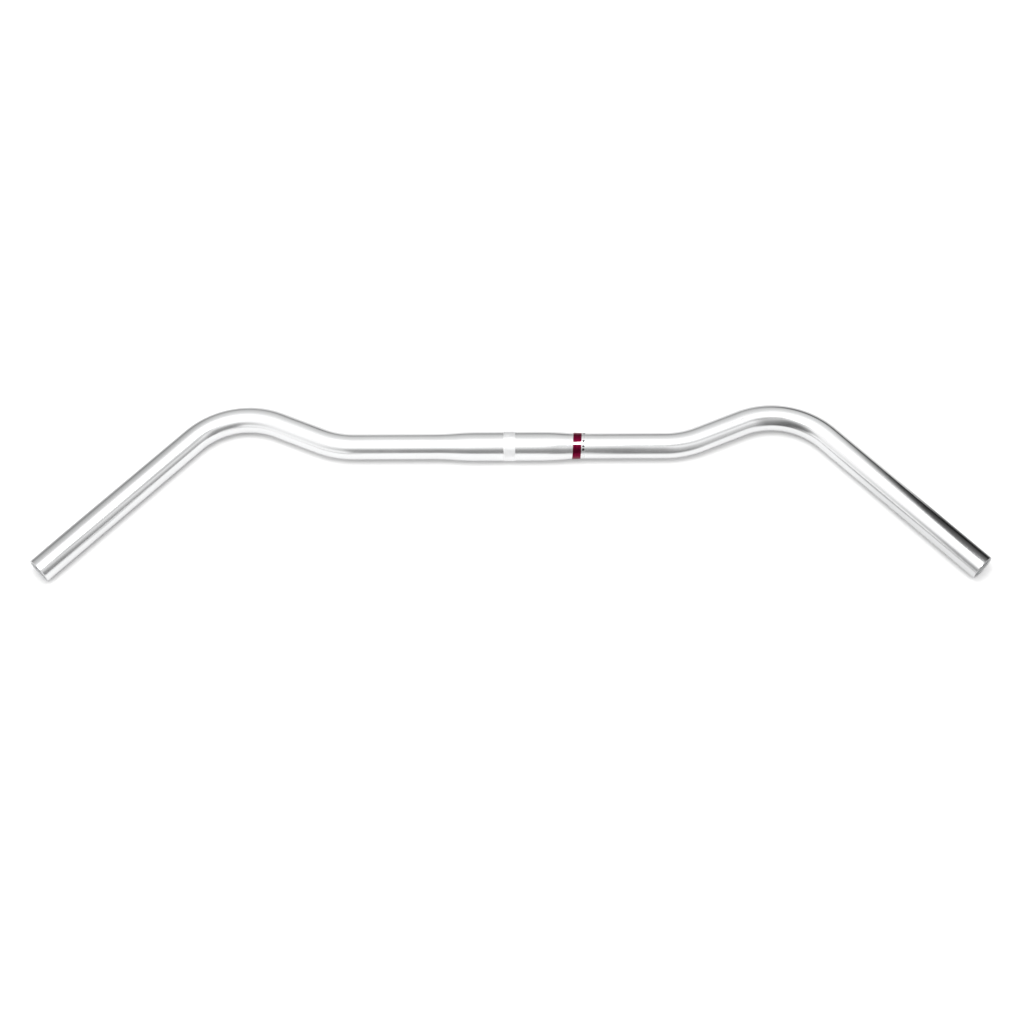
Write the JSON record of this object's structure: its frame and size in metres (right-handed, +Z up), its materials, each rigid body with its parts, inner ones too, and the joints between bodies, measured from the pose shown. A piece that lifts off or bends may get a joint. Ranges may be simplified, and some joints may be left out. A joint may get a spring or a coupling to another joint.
{
  "type": "bicycle handlebar",
  "caption": "Wide swept-back handlebar: one bent tube swelled to a larger clamp diameter at the middle, lying flat with no rise, with plain open ends.",
  "frame": {"origin": "on the tube's axis at the middle of the stem clamp's seat", "axes": "+X along the clamp's axis to the right-hand grip, +Y forward and away from the rider, +Z up from the plane that the bar is bent in"},
  "size_m": [0.8, 0.1624, 0.0254],
  "materials": {
    "polished_aluminium": "mirror polished, with a short matte knurled band at the middle of the clamp",
    "decal_print": "gloss clear film printed in crimson"
  },
  "bodies": {
    "root": {"handlebar_tube": "polished_aluminium", "decal_film": "decal_print"}
  },
  "joints": []
}
